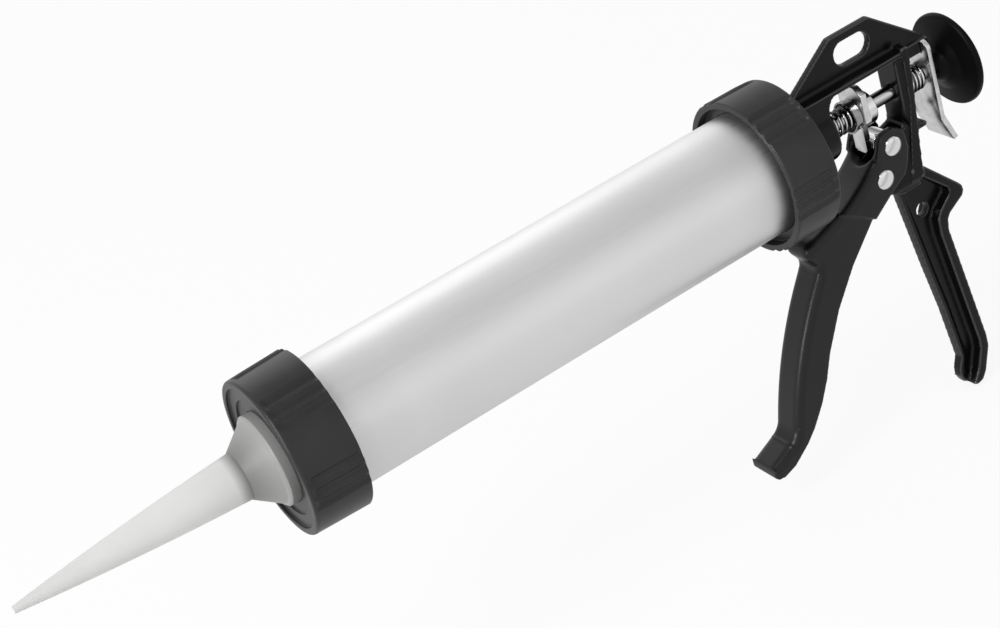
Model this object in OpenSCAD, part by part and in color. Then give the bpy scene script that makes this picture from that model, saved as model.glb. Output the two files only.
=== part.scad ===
// Caulking gun with an aluminium barrel, two screw caps and a die-cast frame.
// The barrel's axis is the X axis. The origin is the nozzle's outlet, +X runs
// back towards the pull knob and +Z points up at the hanging fin.

/* [Barrel] */
// Outside diameter of the barrel tube
barrel_d = 52; // [48:0.5:54]
// Wall of the barrel tube
barrel_wall = 1.2; // [0.8:0.1:2]
// Length of barrel seen between the two caps
barrel_shown = 196; // [150:1:320]

/* [Front cap] */
// Length of the front cap
front_cap_len = 23.4; // [20:0.2:30]
// How far the front cap's rim stands out from the barrel
front_cap_rise = 6.4; // [5:0.1:8]
// How much smaller the cap's radius is at its face than at its rim
front_cap_taper = 0.8; // [0:0.1:1.6]
// Thickness of the face that holds the nozzle
front_cap_face = 4; // [3.4:0.1:6]

/* [Rear cap] */
// Length of the rear cap
rear_cap_len = 21.7; // [20:0.2:28]
// How far the rear cap's rim stands out from the barrel
rear_cap_rise = 6.7; // [5:0.1:8]
// How much smaller the cap's radius is at its frame end than at its rim
rear_cap_taper = 0.5; // [0:0.1:1.8]
// Thickness of the lip behind the frame's flange
rear_cap_lip = 3.5; // [2.5:0.1:5]
// Depth of the open recess around the barrel
rear_cap_recess = 4; // [2:0.5:6]

/* [Grip of the caps] */
// Number of smooth panels, with a group of flutes between each two
panels = 6; // [4:1:8]
// Flutes in each group
flutes = 3; // [2:1:4]
// Angle between two flutes of a group
flute_pitch = 9; // [7:0.5:10]
// Angle of the first group of flutes, from the top
flute_turn = 35.5; // [0:0.5:90]
// Depth of a flute
flute_depth = 1; // [0.4:0.1:1.4]
// Radius of the round cutter of a flute
flute_r = 3; // [2.4:0.1:4]

/* [Nozzle] */
// Length of nozzle in front of the cap's face
nozzle_reach = 102.5; // [70:0.5:160]
// Outside diameter at the outlet
nozzle_tip_d = 2.8; // [2.6:0.1:5]
// Diameter of the outlet bore
outlet_d = 1.6; // [1:0.1:1.8]
// Length of the straight outlet bore
outlet_len = 6; // [4:0.5:10]
// Diameter of the cone where it meets the flared base
cone_d = 18.8; // [16:0.2:22]
// How far the cone's side bulges beyond a straight line, as a part of its slope
cone_belly = 0.38; // [0:0.02:0.6]
// Length of the flared base
flare_len = 9.4; // [6:0.2:14]
// Diameter at the wide end of the flared base
flare_d = 33.8; // [28:0.2:35]
// Diameter of the seat that fills the cap's opening
seat_d = 36.8; // [35.6:0.2:40]
// Length of the seat in front of the cap's face
seat_step = 2.4; // [1.5:0.1:4]
// Thickness of the flange inside the cap
nozzle_flange = 3; // [2:0.2:4]
// Wall of the nozzle
nozzle_wall = 1.2; // [0.8:0.1:1.6]

/* [Rod and piston] */
// Diameter of the push rod
rod_d = 6.3; // [5.5:0.1:7]
// Gap from the nozzle's flange to the rod's front end
rod_front_gap = 3; // [1:0.5:10]
// Length of rod in front of the piston
rod_nose = 8; // [7:0.5:14]
// Length of the piston
piston_len = 16; // [10:0.5:24]
// Diameter of the piston's washers
piston_washer_d = 32; // [20:0.5:38]
// Thickness of the piston's washers
piston_washer = 1.5; // [1:0.1:2.5]
// Nut size across the flats
nut_af = 10; // [9:0.5:13]
// Thickness of the nuts
nut_h = 5; // [4:0.2:6]
// Diameter of the pull knob
knob_d = 40.2; // [32:0.2:46]
// Thickness of the knob's rim
knob_rim = 2; // [1.5:0.1:4]
// Depth of the knob from its neck to its rim
knob_depth = 8; // [5:0.5:14]
// Diameter of the knob's neck
knob_neck_d = 12; // [10:0.5:14]

/* [Frame] */
// Width of the frame's roof and rear wall
frame_w = 15.4; // [14:0.2:15.6]
// Width across the side walls and their ears
ear_w = 12.8; // [12.4:0.2:13]
// Thickness of each side wall
frame_wall = 2.2; // [2:0.1:2.4]
// Diameter of the round boss behind the rear cap
boss_d = 24; // [20:0.5:28]
// Length of the boss behind the rear cap
boss_len = 18.3; // [14:0.1:20]
// Thickness of the flange that the rear cap clamps
frame_flange = 3; // [2:0.2:4]
// Height of the housing's roof above the rod's axis
roof_z = 17.8; // [16.5:0.1:19]
// Thickness of the roof
roof_t = 2.1; // [1.8:0.1:3]
// Distance from the rear cap to the housing's rear wall at the rod
rear_wall_x = 57; // [56:0.5:62]
// Thickness of the rear wall at the rod
rear_wall_t = 3.5; // [2.5:0.1:4.5]
// Thickness of the rear wall at its foot
wall_foot_t = 6.2; // [5:0.1:7]
// Thickness of the hanging fin
fin_t = 3.5; // [2.5:0.1:4.5]
// Height of the fin's top edge above the rod's axis
fin_z = 36; // [34.6:0.1:44]
// Length of the hanging slot
slot_len = 17.8; // [12:0.2:20]
// Height of the hanging slot
slot_h = 10; // [7:0.2:11]
// Width of the hook that carries the release plate
hook_w = 8; // [6:0.2:9]

/* [Fixed handle] */
// Thickness of the handle's web
web_t = 3.5; // [2.5:0.1:4.5]
// Width of the handle's rim
rim_w = 14; // [10:0.5:15]
// Width of the bead along the handle's front edge
bead_w = 4.8; // [4.6:0.2:8]
// Diameter of the cord hole through the web
cord_hole_d = 6; // [3:0.1:7]

/* [Trigger] */
// Wall of the trigger
sheet = 3.3; // [2.6:0.1:3.5]
// Length of the solid end of the trigger's toe
toe_solid = 3; // [2:0.1:5]
// Width of the trigger's grip
grip_w = 16; // [15:0.2:18]
// Distance of the pivot behind the rear cap
pivot_x = 35.8; // [34:0.1:37]
// Distance of the pivot below the rod's axis
pivot_drop = 28.6; // [28:0.1:31]
// Distance of the push rivet behind the pivot
push_back = 6.9; // [6:0.1:7.5]
// Distance of the push rivet above the pivot
push_up = 12.1; // [11.6:0.1:12.4]
// Diameter of both rivets
rivet_d = 5; // [4:0.1:5.4]
// Diameter of the rivets' heads
rivet_head_d = 8.4; // [7:0.1:9.5]
// Height of the rivets' heads
rivet_head = 1.3; // [0.8:0.1:2]
// Diameter of the roller that pushes the drive plate
roller_d = 10; // [8:0.1:10.8]

/* [Drive and release] */
// Thickness of the drive plate
drive_plate_t = 3; // [2:0.1:3.2]
// Width of the drive plate
drive_plate_w = 14.6; // [12:0.2:15]
// Diameter of the collar behind the drive plate
collar_d = 14.4; // [12:0.2:14.8]
// Length of the collar behind the drive plate
collar_len = 4; // [3:0.2:6]
// Outside diameter of both springs
spring_d = 11; // [9.6:0.2:12]
// Wire of both springs
spring_wire = 1.3; // [0.8:0.1:1.4]
// Turns of the drive spring
drive_turns = 5.5; // [4:0.5:6]
// Turns of the release spring
release_turns = 4; // [3:0.5:5]
// Thickness of the release plate
release_t = 2; // [1.5:0.1:2.2]
// Width of the release plate
release_w = 16; // [12:0.5:18]
// Gap from the rear wall to the release plate
release_gap = 9.6; // [8.8:0.1:12]

/* [Hidden] */

round_fn = 96;
pin_fn = 48;
// Clearances, each measured on a radius or along one gap
thread_gap = 0.1;
slide_gap = 0.3;
run_gap = 0.05;
side_gap = 0.3;

barrel_r = barrel_d / 2;
bore_r = barrel_r - barrel_wall;
rod_r = rod_d / 2;

// Stations along the barrel's axis
front_cap_x = nozzle_reach;
front_cap_end = front_cap_x + front_cap_len;
nozzle_flange_x = front_cap_x + front_cap_face + side_gap;
nozzle_end = nozzle_flange_x + nozzle_flange;
barrel_x0 = nozzle_end + slide_gap;
rear_cap_x = front_cap_end + barrel_shown;
frame_x = rear_cap_x + rear_cap_len;
flange_back = frame_x - rear_cap_lip - side_gap;
flange_front = flange_back - frame_flange;
barrel_x1 = flange_front - side_gap;

// The frame's outlines lie in the X-Z plane, measured from the rear cap's back
// and from the rod's axis
pivot = [pivot_x, -pivot_drop];
push_pin = pivot + [push_back, push_up];
wall_in = ear_w / 2 - frame_wall;
housing_x = boss_len;
rear_wall_in = rear_wall_x;
rear_wall_out = rear_wall_x + rear_wall_t;
wall_lean = 0.11;
hook_z = 11;
release_x = rear_wall_out + release_gap;
release_back = release_x + release_t;
hook_back = release_back + slide_gap;
hook_tip = hook_back + 2.5;
knob_x = hook_tip + 1;

// ---------------------------------------------------------------- helpers

// Turns a profile of [radius, station] points about the X axis
module lathe(profile) {
    rotate([0, 90, 0]) rotate_extrude($fn = round_fn) polygon(profile);
}

// A cylinder of radius r about the X axis, from station x0 to station x1
module shaft(r, x0, x1, fn = round_fn) {
    translate([x0, 0, 0]) rotate([0, 90, 0]) cylinder(r = r, h = x1 - x0, $fn = fn);
}

// An X-Z outline with a width w, centred on the X-Z plane
module slab(outline, w) {
    translate([0, w / 2, 0]) rotate([90, 0, 0]) linear_extrude(w) polygon(outline);
}

// A cylinder across the frame, about an axis through the X-Z point p
module cross_pin(p, r, w, fn = pin_fn) {
    translate([p.x, w / 2, p.y]) rotate([90, 0, 0]) cylinder(r = r, h = w, $fn = fn);
}

// Points of an arc about c, with radius r, from angle a0 to angle a1
function arc(c, r, a0, a1, n) =
    [for (i = [0:n]) c + r * [cos(a0 + (a1 - a0) * i / n), sin(a0 + (a1 - a0) * i / n)]];

// A washer about the X axis
module washer(r_out, r_in, x0, t) {
    lathe([[r_in, x0], [r_out, x0], [r_out, x0 + t], [r_in, x0 + t]]);
}

// A hexagon nut about the X axis
module nut(x0) {
    difference() {
        translate([x0, 0, 0]) rotate([0, 90, 0])
            cylinder(r = nut_af / 2 / cos(30), h = nut_h, $fn = 6);
        shaft(rod_r + run_gap, x0 - 1, x0 + nut_h + 1, pin_fn);
    }
}

// A round wire wound about the X axis, from station x0 to station x1
module coil(x0, x1, turns) {
    sides = 6;
    per_turn = 14;
    steps = round(turns * per_turn);
    mid_r = (spring_d - spring_wire) / 2;
    wire_r = spring_wire / 2;
    rise = x1 - x0 - spring_wire;
    ring = function (i) let (a = 360 * turns * i / steps)
        [for (j = [0:sides - 1]) let (b = 360 * j / sides, r = mid_r + wire_r * cos(b))
            [x0 + wire_r + rise * i / steps + wire_r * sin(b), r * sin(a), r * cos(a)]];
    points = [for (i = [0:steps]) each ring(i)];
    first = [for (j = [0:sides - 1]) j];
    last = [for (j = [sides - 1:-1:0]) steps * sides + j];
    skin = [for (i = [0:steps - 1]) for (j = [0:sides - 1]) let (k = (j + 1) % sides)
        each [[i * sides + j, (i + 1) * sides + j, (i + 1) * sides + k],
              [i * sides + j, (i + 1) * sides + k, i * sides + k]]];
    polyhedron(points, concat([first], skin, [last]));
}

// ------------------------------------------------------------------- caps

// The flutes between the smooth panels, cut along a cap from x0 to x1
module cap_flutes(x0, x1, r0, r1) {
    lift = flute_r - flute_depth;
    tilt = atan((r1 - r0) / (x1 - x0));
    for (panel = [0:panels - 1], i = [0:flutes - 1])
        rotate([flute_turn + 360 * panel / panels + (i - (flutes - 1) / 2) * flute_pitch, 0, 0])
            translate([x0, 0, r0 + lift]) rotate([0, 90 - tilt, 0])
                cylinder(r = flute_r, h = (x1 - x0) / cos(tilt), $fn = 32);
}

module front_cap() {
    x = front_cap_x;
    rim_r = barrel_r + front_cap_rise;
    face_r = rim_r - front_cap_taper;
    open_r = seat_d / 2 + thread_gap;
    edge = 2.4;
    step1 = 1.2;
    step2 = 2;
    color("#1b1b1d") difference() {
        lathe([
            [open_r, x + step2], [seat_d / 2 + 5, x + step2], [seat_d / 2 + 5, x + step1],
            [face_r - edge - 0.6, x + step1], [face_r - edge - 0.6, x],
            each [for (a = [90:-18:0])
                [face_r - edge + edge * cos(a), x + edge - edge * sin(a)]],
            [rim_r, x + front_cap_len - 1], [rim_r - 1, x + front_cap_len],
            [barrel_r + thread_gap, x + front_cap_len],
            [barrel_r + thread_gap, x + front_cap_face],
            [open_r, x + front_cap_face]]);
        cap_flutes(x + edge, x + front_cap_len + 1, face_r, rim_r);
    }
}

module rear_cap() {
    x = rear_cap_x;
    rim_r = barrel_r + rear_cap_rise;
    back_r = rim_r - rear_cap_taper;
    edge = 2;
    lip_r = barrel_r - 4.5;
    color("#1b1b1d") difference() {
        lathe([
            [barrel_r + thread_gap, x + rear_cap_recess],
            [rim_r - 3, x + rear_cap_recess], [rim_r - 3, x], [rim_r - 1, x],
            [rim_r, x + 1],
            each [for (a = [0:18:90])
                [back_r - edge + edge * cos(a), frame_x - edge + edge * sin(a)]],
            [lip_r, frame_x], [lip_r, frame_x - rear_cap_lip],
            [barrel_r + thread_gap, frame_x - rear_cap_lip]]);
        cap_flutes(x - 1, frame_x - edge, rim_r, back_r);
    }
}

// ------------------------------------------------------------------ barrel

module barrel_tube() {
    color("#d3d4d6") lathe([[bore_r, barrel_x0], [barrel_r, barrel_x0],
        [barrel_r, barrel_x1], [bore_r, barrel_x1]]);
}

// ------------------------------------------------------------------ nozzle

// Outside radius of the cone, s = 0 at the outlet and 1 at the flared base
function cone_at(s) =
    (nozzle_tip_d + (cone_d - nozzle_tip_d) * s * (1 + cone_belly * (1 - s))) / 2;

module nozzle() {
    steps = 8;
    flare_x1 = nozzle_reach - seat_step;
    flare_x0 = flare_x1 - flare_len;
    s0 = outlet_len / flare_x0;
    ledge = 0.35;
    flange_r = barrel_r - side_gap;
    inner_flare_r = flare_d / 2 - nozzle_wall;
    color("#e9e9e6") lathe([
        [outlet_d / 2, 0], [nozzle_tip_d / 2, 0],
        each [for (i = [1:steps]) [cone_at(i / steps), flare_x0 * i / steps]],
        [cone_d / 2 + ledge, flare_x0],
        [flare_d / 2, flare_x1], [seat_d / 2 - 0.8, flare_x1 + 0.2],
        [seat_d / 2, flare_x1 + 1], [seat_d / 2, nozzle_flange_x],
        [flange_r, nozzle_flange_x], [flange_r, nozzle_end],
        [inner_flare_r, nozzle_end], [inner_flare_r, flare_x1],
        each [for (i = [steps:-1:1]) let (s = s0 + (1 - s0) * i / steps)
            [cone_at(s) - nozzle_wall, flare_x0 * s]],
        [outlet_d / 2, outlet_len]]);
}

// --------------------------------------------------------- rod and piston

rod_x0 = nozzle_end + rod_front_gap;
piston_x = rod_x0 + rod_nose;
washer_front_x = piston_x - piston_washer;
washer_rear_x = piston_x + piston_len;
lock_nut_x = washer_rear_x + piston_washer;
rod_x1 = frame_x + knob_x + knob_depth;

module push_rod() {
    color("#c9cbce") shaft(rod_r, rod_x0, rod_x1, pin_fn);
}

module piston_cup() {
    wipe_r = bore_r - slide_gap;
    waist = 1.2;
    lip = 4;
    color("#2a2a2c") lathe([
        [rod_r + run_gap, piston_x], [wipe_r - waist, piston_x],
        [wipe_r, piston_x + 1], [wipe_r, piston_x + lip],
        [wipe_r - waist, piston_x + lip + 1],
        [wipe_r - waist, piston_x + piston_len - lip - 1],
        [wipe_r, piston_x + piston_len - lip], [wipe_r, piston_x + piston_len],
        [rod_r + run_gap, piston_x + piston_len]]);
}

module piston_front_washer() {
    color("#b9bbbe") washer(piston_washer_d / 2, rod_r + run_gap, washer_front_x,
        piston_washer);
}

module piston_rear_washer() {
    color("#b9bbbe") washer(piston_washer_d / 2, rod_r + run_gap, washer_rear_x,
        piston_washer);
}

module piston_nut() {
    color("#b9bbbe") nut(washer_front_x - nut_h);
}

module piston_lock_nut() {
    color("#b9bbbe") nut(lock_nut_x);
}

module pull_knob() {
    x = frame_x + knob_x;
    r = knob_d / 2;
    back = 4;
    color("#1b1b1d") lathe([
        [rod_r + run_gap, x], [knob_neck_d / 2 - 1, x], [knob_neck_d / 2, x + 1],
        [knob_neck_d / 2 + 1.5, x + knob_depth * 0.4], [r * 0.6, x + knob_depth * 0.72],
        [r - 0.6, x + knob_depth * 0.96], [r, x + knob_depth + 0.6],
        [r, x + knob_depth + knob_rim], [r - 1.6, x + knob_depth + knob_rim + 1.2],
        [r * 0.5, x + knob_depth + knob_rim + back - 0.8],
        [0, x + knob_depth + knob_rim + back], [0, rod_x1],
        [rod_r + run_gap, rod_x1]]);
}

// ------------------------------------------------------------------- frame

// The rear wall leans a little, so each station falls with the height
function lean(z) = wall_lean * z;
wall_foot_z = -38;
wall_foot_x = rear_wall_out + lean(wall_foot_z);

fin_fall = 0.8;
fin_back = 50.4;
hook_top = fin_z - fin_fall * (hook_tip - fin_back);

fin_outline = [
    [4, roof_z - 1], [8.3, roof_z + 3.6], [29.7, fin_z], [fin_back, fin_z],
    [hook_tip, hook_top], [hook_tip, hook_z + 1], [rear_wall_out - 1, hook_z + 1],
    [rear_wall_in, roof_z - 1]];

hook_outline = [
    [rear_wall_out - 1, hook_z], [rear_wall_out - 1, hook_top], [hook_tip, hook_top],
    [hook_tip, hook_z - 1.5], [hook_back, hook_z - 1.5], [hook_back, hook_z]];

ear_r = 5.2;

side_wall_outline = [
    [rear_wall_in + 1, roof_z - roof_t + 0.5], [rear_wall_in - 2.6, roof_z - roof_t + 0.5],
    [rear_wall_in - 2.6, -13.8], [48.4, -15.6], [46.4, -20.3],
    each arc(pivot, ear_r, 80, 215, 9),
    [33.6, pivot.y - 9.2], [38, pivot.y - 9.8], [45.4, pivot.y - 13.5],
    [wall_foot_x - 1, -42.1], [wall_foot_x - 1, -36]];

rear_wall_outline = [
    [rear_wall_in + 1.2, roof_z + 1.2], [rear_wall_out + 1.2, roof_z + 1.2],
    [rear_wall_out, 0], [wall_foot_x, wall_foot_z],
    [wall_foot_x - wall_foot_t, wall_foot_z], [rear_wall_in, -4]];

handle_outline = [
    [41, -37], [54, -35], [57.9, -34.8], [72.6, -50.3], [74.6, -52.6], [75, -54.9],
    [73.9, -57.2], [66, -61.6], [64.3, -63.8], [63.7, -68.8], [71.4, -126.3],
    [71.4, -132], [67.4, -143.1], [65, -146.4], [61.8, -147.3], [58.4, -145.8],
    [56.8, -142], [57.3, -138.4], [59.2, -133.4], [55.7, -106.1], [51.7, -82.9],
    [48.6, -63], [45.5, -43.1]];

handle_recess = [
    [41, -39], [56.6, -39.6], [67.4, -50.4], [67.6, -53], [61.2, -58.4], [59.2, -61.8],
    [59.1, -68.8], [67, -127], [66.8, -131.6], [63.8, -140.2], [62.2, -142.8],
    [58, -149], [38, -149], [38, -60]];

bead_outline = [
    [45.5, -43.1], [48.6, -63], [51.7, -82.9], [55.7, -106.1], [59.2, -133.4],
    [57.3, -138.4], [56.8, -142], [58.4, -145.8], [61.8, -143.4], [59.9, -139],
    [61.4, -133.4], [57.9, -105.8], [53.9, -82.6], [50.8, -62.8], [47.7, -43.1]];

cord_hole = [56, -56.2];
slot_mid = [39.4, 27.3];
lug_z = -16;

module frame_casting() {
    slot_shift = (slot_len - slot_h) / 2;
    color("#141416") translate([frame_x, 0, 0]) difference() {
        union() {
            // Flange and boss
            shaft(barrel_r - 0.2, flange_front - frame_x, flange_back - frame_x);
            shaft(boss_d / 2, flange_back - frame_x - 0.5, boss_len);
            // Top of the housing, solid over the boss and a thin roof behind it
            slab([[flange_back - frame_x - 0.5, 9.2], [housing_x + 0.5, 9.2],
                [housing_x + 1.2, 12.6], [housing_x + 2.6, roof_z - roof_t - 0.8],
                [housing_x + 4, roof_z - roof_t], [rear_wall_in + 1.6, roof_z - roof_t],
                [rear_wall_in + 1.6, roof_z], [flange_back - frame_x - 0.5, roof_z]],
                frame_w);
            slab(fin_outline, fin_t);
            slab(hook_outline, hook_w);
            slab(rear_wall_outline, frame_w);
            // Stop behind the rear wall
            slab([[rear_wall_out + lean(lug_z) - 1, lug_z],
                [rear_wall_out + 3, lug_z], [rear_wall_out + 3.6, lug_z - 1.2],
                [rear_wall_out + 3, lug_z - 2.6],
                [rear_wall_out + lean(lug_z) - 1, lug_z - 2.6]], frame_w - 2);
            // Side walls with the ears for the pivot
            difference() {
                slab(side_wall_outline, ear_w);
                slab([[20, 30], [rear_wall_in - 3.8, 30], [rear_wall_in - 3.8, -36],
                    [20, -36]], 2 * wall_in);
            }
            cross_pin(pivot, ear_r - 0.8, ear_w);
            // Fixed handle: web, rim and front bead
            slab(handle_outline, web_t);
            slab(bead_outline, bead_w);
            difference() {
                slab(handle_outline, rim_w);
                slab(handle_recess, rim_w + 2);
            }
        }
        shaft(rod_r + run_gap, flange_front - frame_x - 1, rear_wall_out + 6, pin_fn);
        cross_pin(pivot, rivet_d / 2 + run_gap, frame_w + 2);
        cross_pin(cord_hole, cord_hole_d / 2, frame_w + 2);
        // Hanging slot
        cross_pin(slot_mid - [slot_shift, 0], slot_h / 2, fin_t + 2);
        cross_pin(slot_mid + [slot_shift, 0], slot_h / 2, fin_t + 2);
        slab([slot_mid + [-slot_shift, -slot_h / 2], slot_mid + [slot_shift, -slot_h / 2],
            slot_mid + [slot_shift, slot_h / 2], slot_mid + [-slot_shift, slot_h / 2]],
            fin_t + 2);
    }
}

// ----------------------------------------------------------------- trigger

cheek_in = ear_w / 2 + side_gap;
cheek_out = cheek_in + sheet;
// Radius of the trigger's two front corners
corner_r = 3.6;

// The trigger's front runs down in tangent legs, each turning on one radius:
// [radius, side, heading at its end, width, steps]; side 1 bulges forwards and
// a straight leg gives its length and side 0
front_start = [33.4, -19];
front_head = 223;
cheek_w = 2 * cheek_out;
front_legs = [
    [80.5, -1, 204.6, cheek_w, 4],
    [80.5, -1, 192.6, grip_w, 3],
    [4.5, 1, 306, grip_w, 8],
    [3.4, 0, 306, grip_w, 1],
    [5, -1, 234.6, grip_w, 6],
    [184, 1, 254.8, grip_w, 8],
    [1.6, 0, 254.8, grip_w, 1],
    [8, -1, 206, grip_w, 6],
    [12.4, 0, 206, grip_w, 1]];

front_end = len(front_legs) - 1;

function normal(h) = [-sin(h), cos(h)];
function leg_head(i) = i == 0 ? front_head : front_legs[i - 1][2];
function leg_centre(i) = leg_start(i)
    + front_legs[i][0] * front_legs[i][1] * normal(leg_head(i));
function leg_start(i) = i == 0 ? front_start : let (l = front_legs[i - 1])
    l[1] == 0 ? leg_start(i - 1) + l[0] * [cos(l[2]), sin(l[2])]
    : leg_centre(i - 1) - l[0] * l[1] * normal(l[2]);

// Points of the front from leg i to leg j, moved inwards by a depth d, at the
// ends of the legs' steps or, with a half, in the middle of each step
function front_points(i, j, d, half = 0) = [for (n = [i:j]) let (l = front_legs[n], h = leg_head(n))
    each [for (k = [half > 0 ? half : n == i ? 0 : 1:l[4]]) let (a = h + (l[2] - h) * k / l[4])
        l[1] == 0 ? leg_start(n) + l[0] * k / l[4] * [cos(h), sin(h)] + d * normal(h)
        : leg_centre(n) - (l[0] * l[1] - d) * normal(a)]];

// What lies outside the rounded front of a channel, as [depth, across]
function front_cut(w) = let (h = w / 2 + 0.02, r = corner_r) concat(
    [[-3, -h - 1], [r, -h - 1]],
    [for (a = [0:18:90]) [r - r * sin(a), -h + r - r * cos(a)]],
    [for (a = [90:-18:0]) [r - r * sin(a), h - r + r * cos(a)]],
    [[r, h + 1], [-3, h + 1]]);

// Rounds one leg of the front
module round_leg(i) {
    l = front_legs[i];
    h = leg_head(i);
    start = leg_start(i);
    c = leg_centre(i);
    a0 = min(h, l[2]) - l[1] * 90;
    if (l[1] == 0)
        translate([start.x, 0, start.y]) rotate([0, -h, 0]) rotate([90, 0, 90])
            linear_extrude(l[0]) polygon([for (p = front_cut(l[3])) [p.y, p.x]]);
    else
        translate([c.x, 0, c.y]) rotate([90, 0, 0]) rotate([0, 0, a0])
            rotate_extrude(angle = abs(l[2] - h), $fn = l[0] > 40 ? 360 : round_fn)
                polygon([for (p = front_cut(l[3])) [l[0] - l[1] * p.x, p.y]]);
}

// Rear edges of the cheeks and of the grip
cheek_rear = [[27.3, -43.1], [37, -36.6], [46.1, -31.4], [48.6, -26.5], [50.4, -20.6]];
grip_rear = [[-48.2, -126], [-48.2, -128.9], [-46.8, -130.3], [-43.6, -130.7],
    [-37.3, -128.5], [-29.3, -122.6], [-23.6, -116.8], [-17.6, -108.6], [-12.6, -99.6],
    [-8, -88.8], [1.1, -72.7], [12.4, -58.1], cheek_rear[0]];
// The cheeks step in to the grip's width along a line, with a band of overlap
step_band = [1.7, 2.5];
step_a = leg_start(1) + step_band;
step_b = cheek_rear[0] + step_band;
step_run = step_b - step_a;
cheek_top_r = 7.5;
saddle_r = 7.6;
saddle_z = -14.4;

// The front's points with a margin outside it, for the rounding to cut away
margin = 0.8;
function padded(i, j) = concat(
    [leg_start(i) - (i == 0 ? 0 : margin) * normal(leg_head(i))],
    front_points(i, j, -margin, 0.5),
    [leg_start(j + 1) - (j == front_end ? 0 : margin) * normal(front_legs[j][2])]);

function reversed(points) = [for (i = [len(points) - 1:-1:0]) points[i]];

// Where the channel ends, in front of the solid end of the toe
toe_head = front_legs[front_end][2];
toe_in = leg_start(front_end + 1) + sheet * normal(toe_head)
    - toe_solid * [cos(toe_head), sin(toe_head)];

module trigger() {
    far = 70;
    color("#171719") translate([frame_x, 0, 0]) difference() {
        union() {
            slab(concat(arc(push_pin, cheek_top_r, 150, 15, 9), reversed(cheek_rear),
                reversed(padded(0, 0))), cheek_w);
            slab(concat(padded(1, front_end), grip_rear, [step_b, step_a]), grip_w);
        }
        for (i = [0:front_end]) round_leg(i);
        // Wide channel between the cheeks, then the narrow one of the grip
        slab(concat([[20, 10]], [for (i = [0:3]) front_points(0, 0, sheet)[i]],
            [step_a + step_run * 0.2, step_b + step_run * 0.1, [far, -40], [far, 10]]),
            2 * cheek_in);
        slab(concat([[20, 10]], front_points(0, front_end - 1, sheet),
            [toe_in, [toe_in.x, -140], [far, -40], [far, 10]]), grip_w - 2 * sheet);
        translate([0, 0, saddle_z]) shaft(saddle_r, 20, 36, pin_fn);
        cross_pin(pivot, rivet_d / 2 + run_gap, cheek_w + 2);
        cross_pin(push_pin, rivet_d / 2 + run_gap, cheek_w + 2);
    }
}

// A rivet across both cheeks, with a domed head on each side
module rivet(p) {
    y = cheek_out;
    r = rivet_d / 2;
    head_r = rivet_head_d / 2;
    translate([frame_x + p.x, 0, p.y]) rotate([90, 0, 0]) rotate_extrude($fn = pin_fn)
        polygon([[0, -y - rivet_head], [head_r * 0.55, -y - rivet_head * 0.9],
            [head_r * 0.9, -y - rivet_head * 0.5], [head_r, -y], [r, -y], [r, y],
            [head_r, y], [head_r * 0.9, y + rivet_head * 0.5],
            [head_r * 0.55, y + rivet_head * 0.9], [0, y + rivet_head]]);
}

module pivot_rivet() {
    color("#d8dadd") rivet(pivot);
}

module push_rivet() {
    color("#d8dadd") rivet(push_pin);
}

module drive_roller() {
    color("#2c2c2e") translate([frame_x, 0, 0]) difference() {
        cross_pin(push_pin, roller_d / 2, 2 * (wall_in - side_gap));
        cross_pin(push_pin, rivet_d / 2 + run_gap, frame_w);
    }
}

// ------------------------------------------------------- drive and release

// The drive plate stands on the roller's front and between the side walls
plate_back = push_pin.x - roller_d / 2 - slide_gap;
plate_front = plate_back - drive_plate_t;
plate_low = -17.8;
plate_high = 12.4;
tongue_w = 2 * (wall_in - 2 * side_gap);
tongue_z = -3;
seat_cup_len = 4;

module drive_plate() {
    w = drive_plate_w / 2;
    t = tongue_w / 2;
    cut = 4;
    foot = 1.2;
    color("#c4c6c9") translate([frame_x, 0, 0]) difference() {
        translate([plate_front, 0, 0]) rotate([90, 0, 90]) linear_extrude(drive_plate_t)
            polygon([[foot - t, plate_low], [t - foot, plate_low], [t, plate_low + foot],
                [t, tongue_z - 2.5], [w, tongue_z], [w, plate_high - 3],
                [w - cut, plate_high], [cut - w, plate_high], [-w, plate_high - 3],
                [-w, tongue_z], [-t, tongue_z - 2.5], [-t, plate_low + foot]]);
        shaft(rod_r + run_gap, 0, 80, pin_fn);
    }
}

module drive_collar() {
    x = plate_back + 0.1;
    edge = 0.4;
    r = collar_d / 2;
    color("#dcdee0") translate([frame_x, 0, 0]) lathe([[rod_r + run_gap, x], [r, x],
        [r, x + collar_len - edge], [r - edge, x + collar_len],
        [rod_r + run_gap, x + collar_len]]);
}

// Dished cup that holds the drive spring's rear end
module spring_seat() {
    x = plate_front - 0.1;
    r = spring_d / 2 + 1.7;
    t = 0.8;
    color("#8f9296") translate([frame_x, 0, 0]) lathe([[rod_r + run_gap, x], [r - 0.6, x],
        [r, x - seat_cup_len], [r - t, x - seat_cup_len], [r - 0.6 - t, x - t],
        [rod_r + run_gap, x - t]]);
}

module drive_spring() {
    color("#c0c2c5") translate([frame_x, 0, 0])
        coil(boss_len + 0.1, plate_front - 1.2, drive_turns);
}

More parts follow.
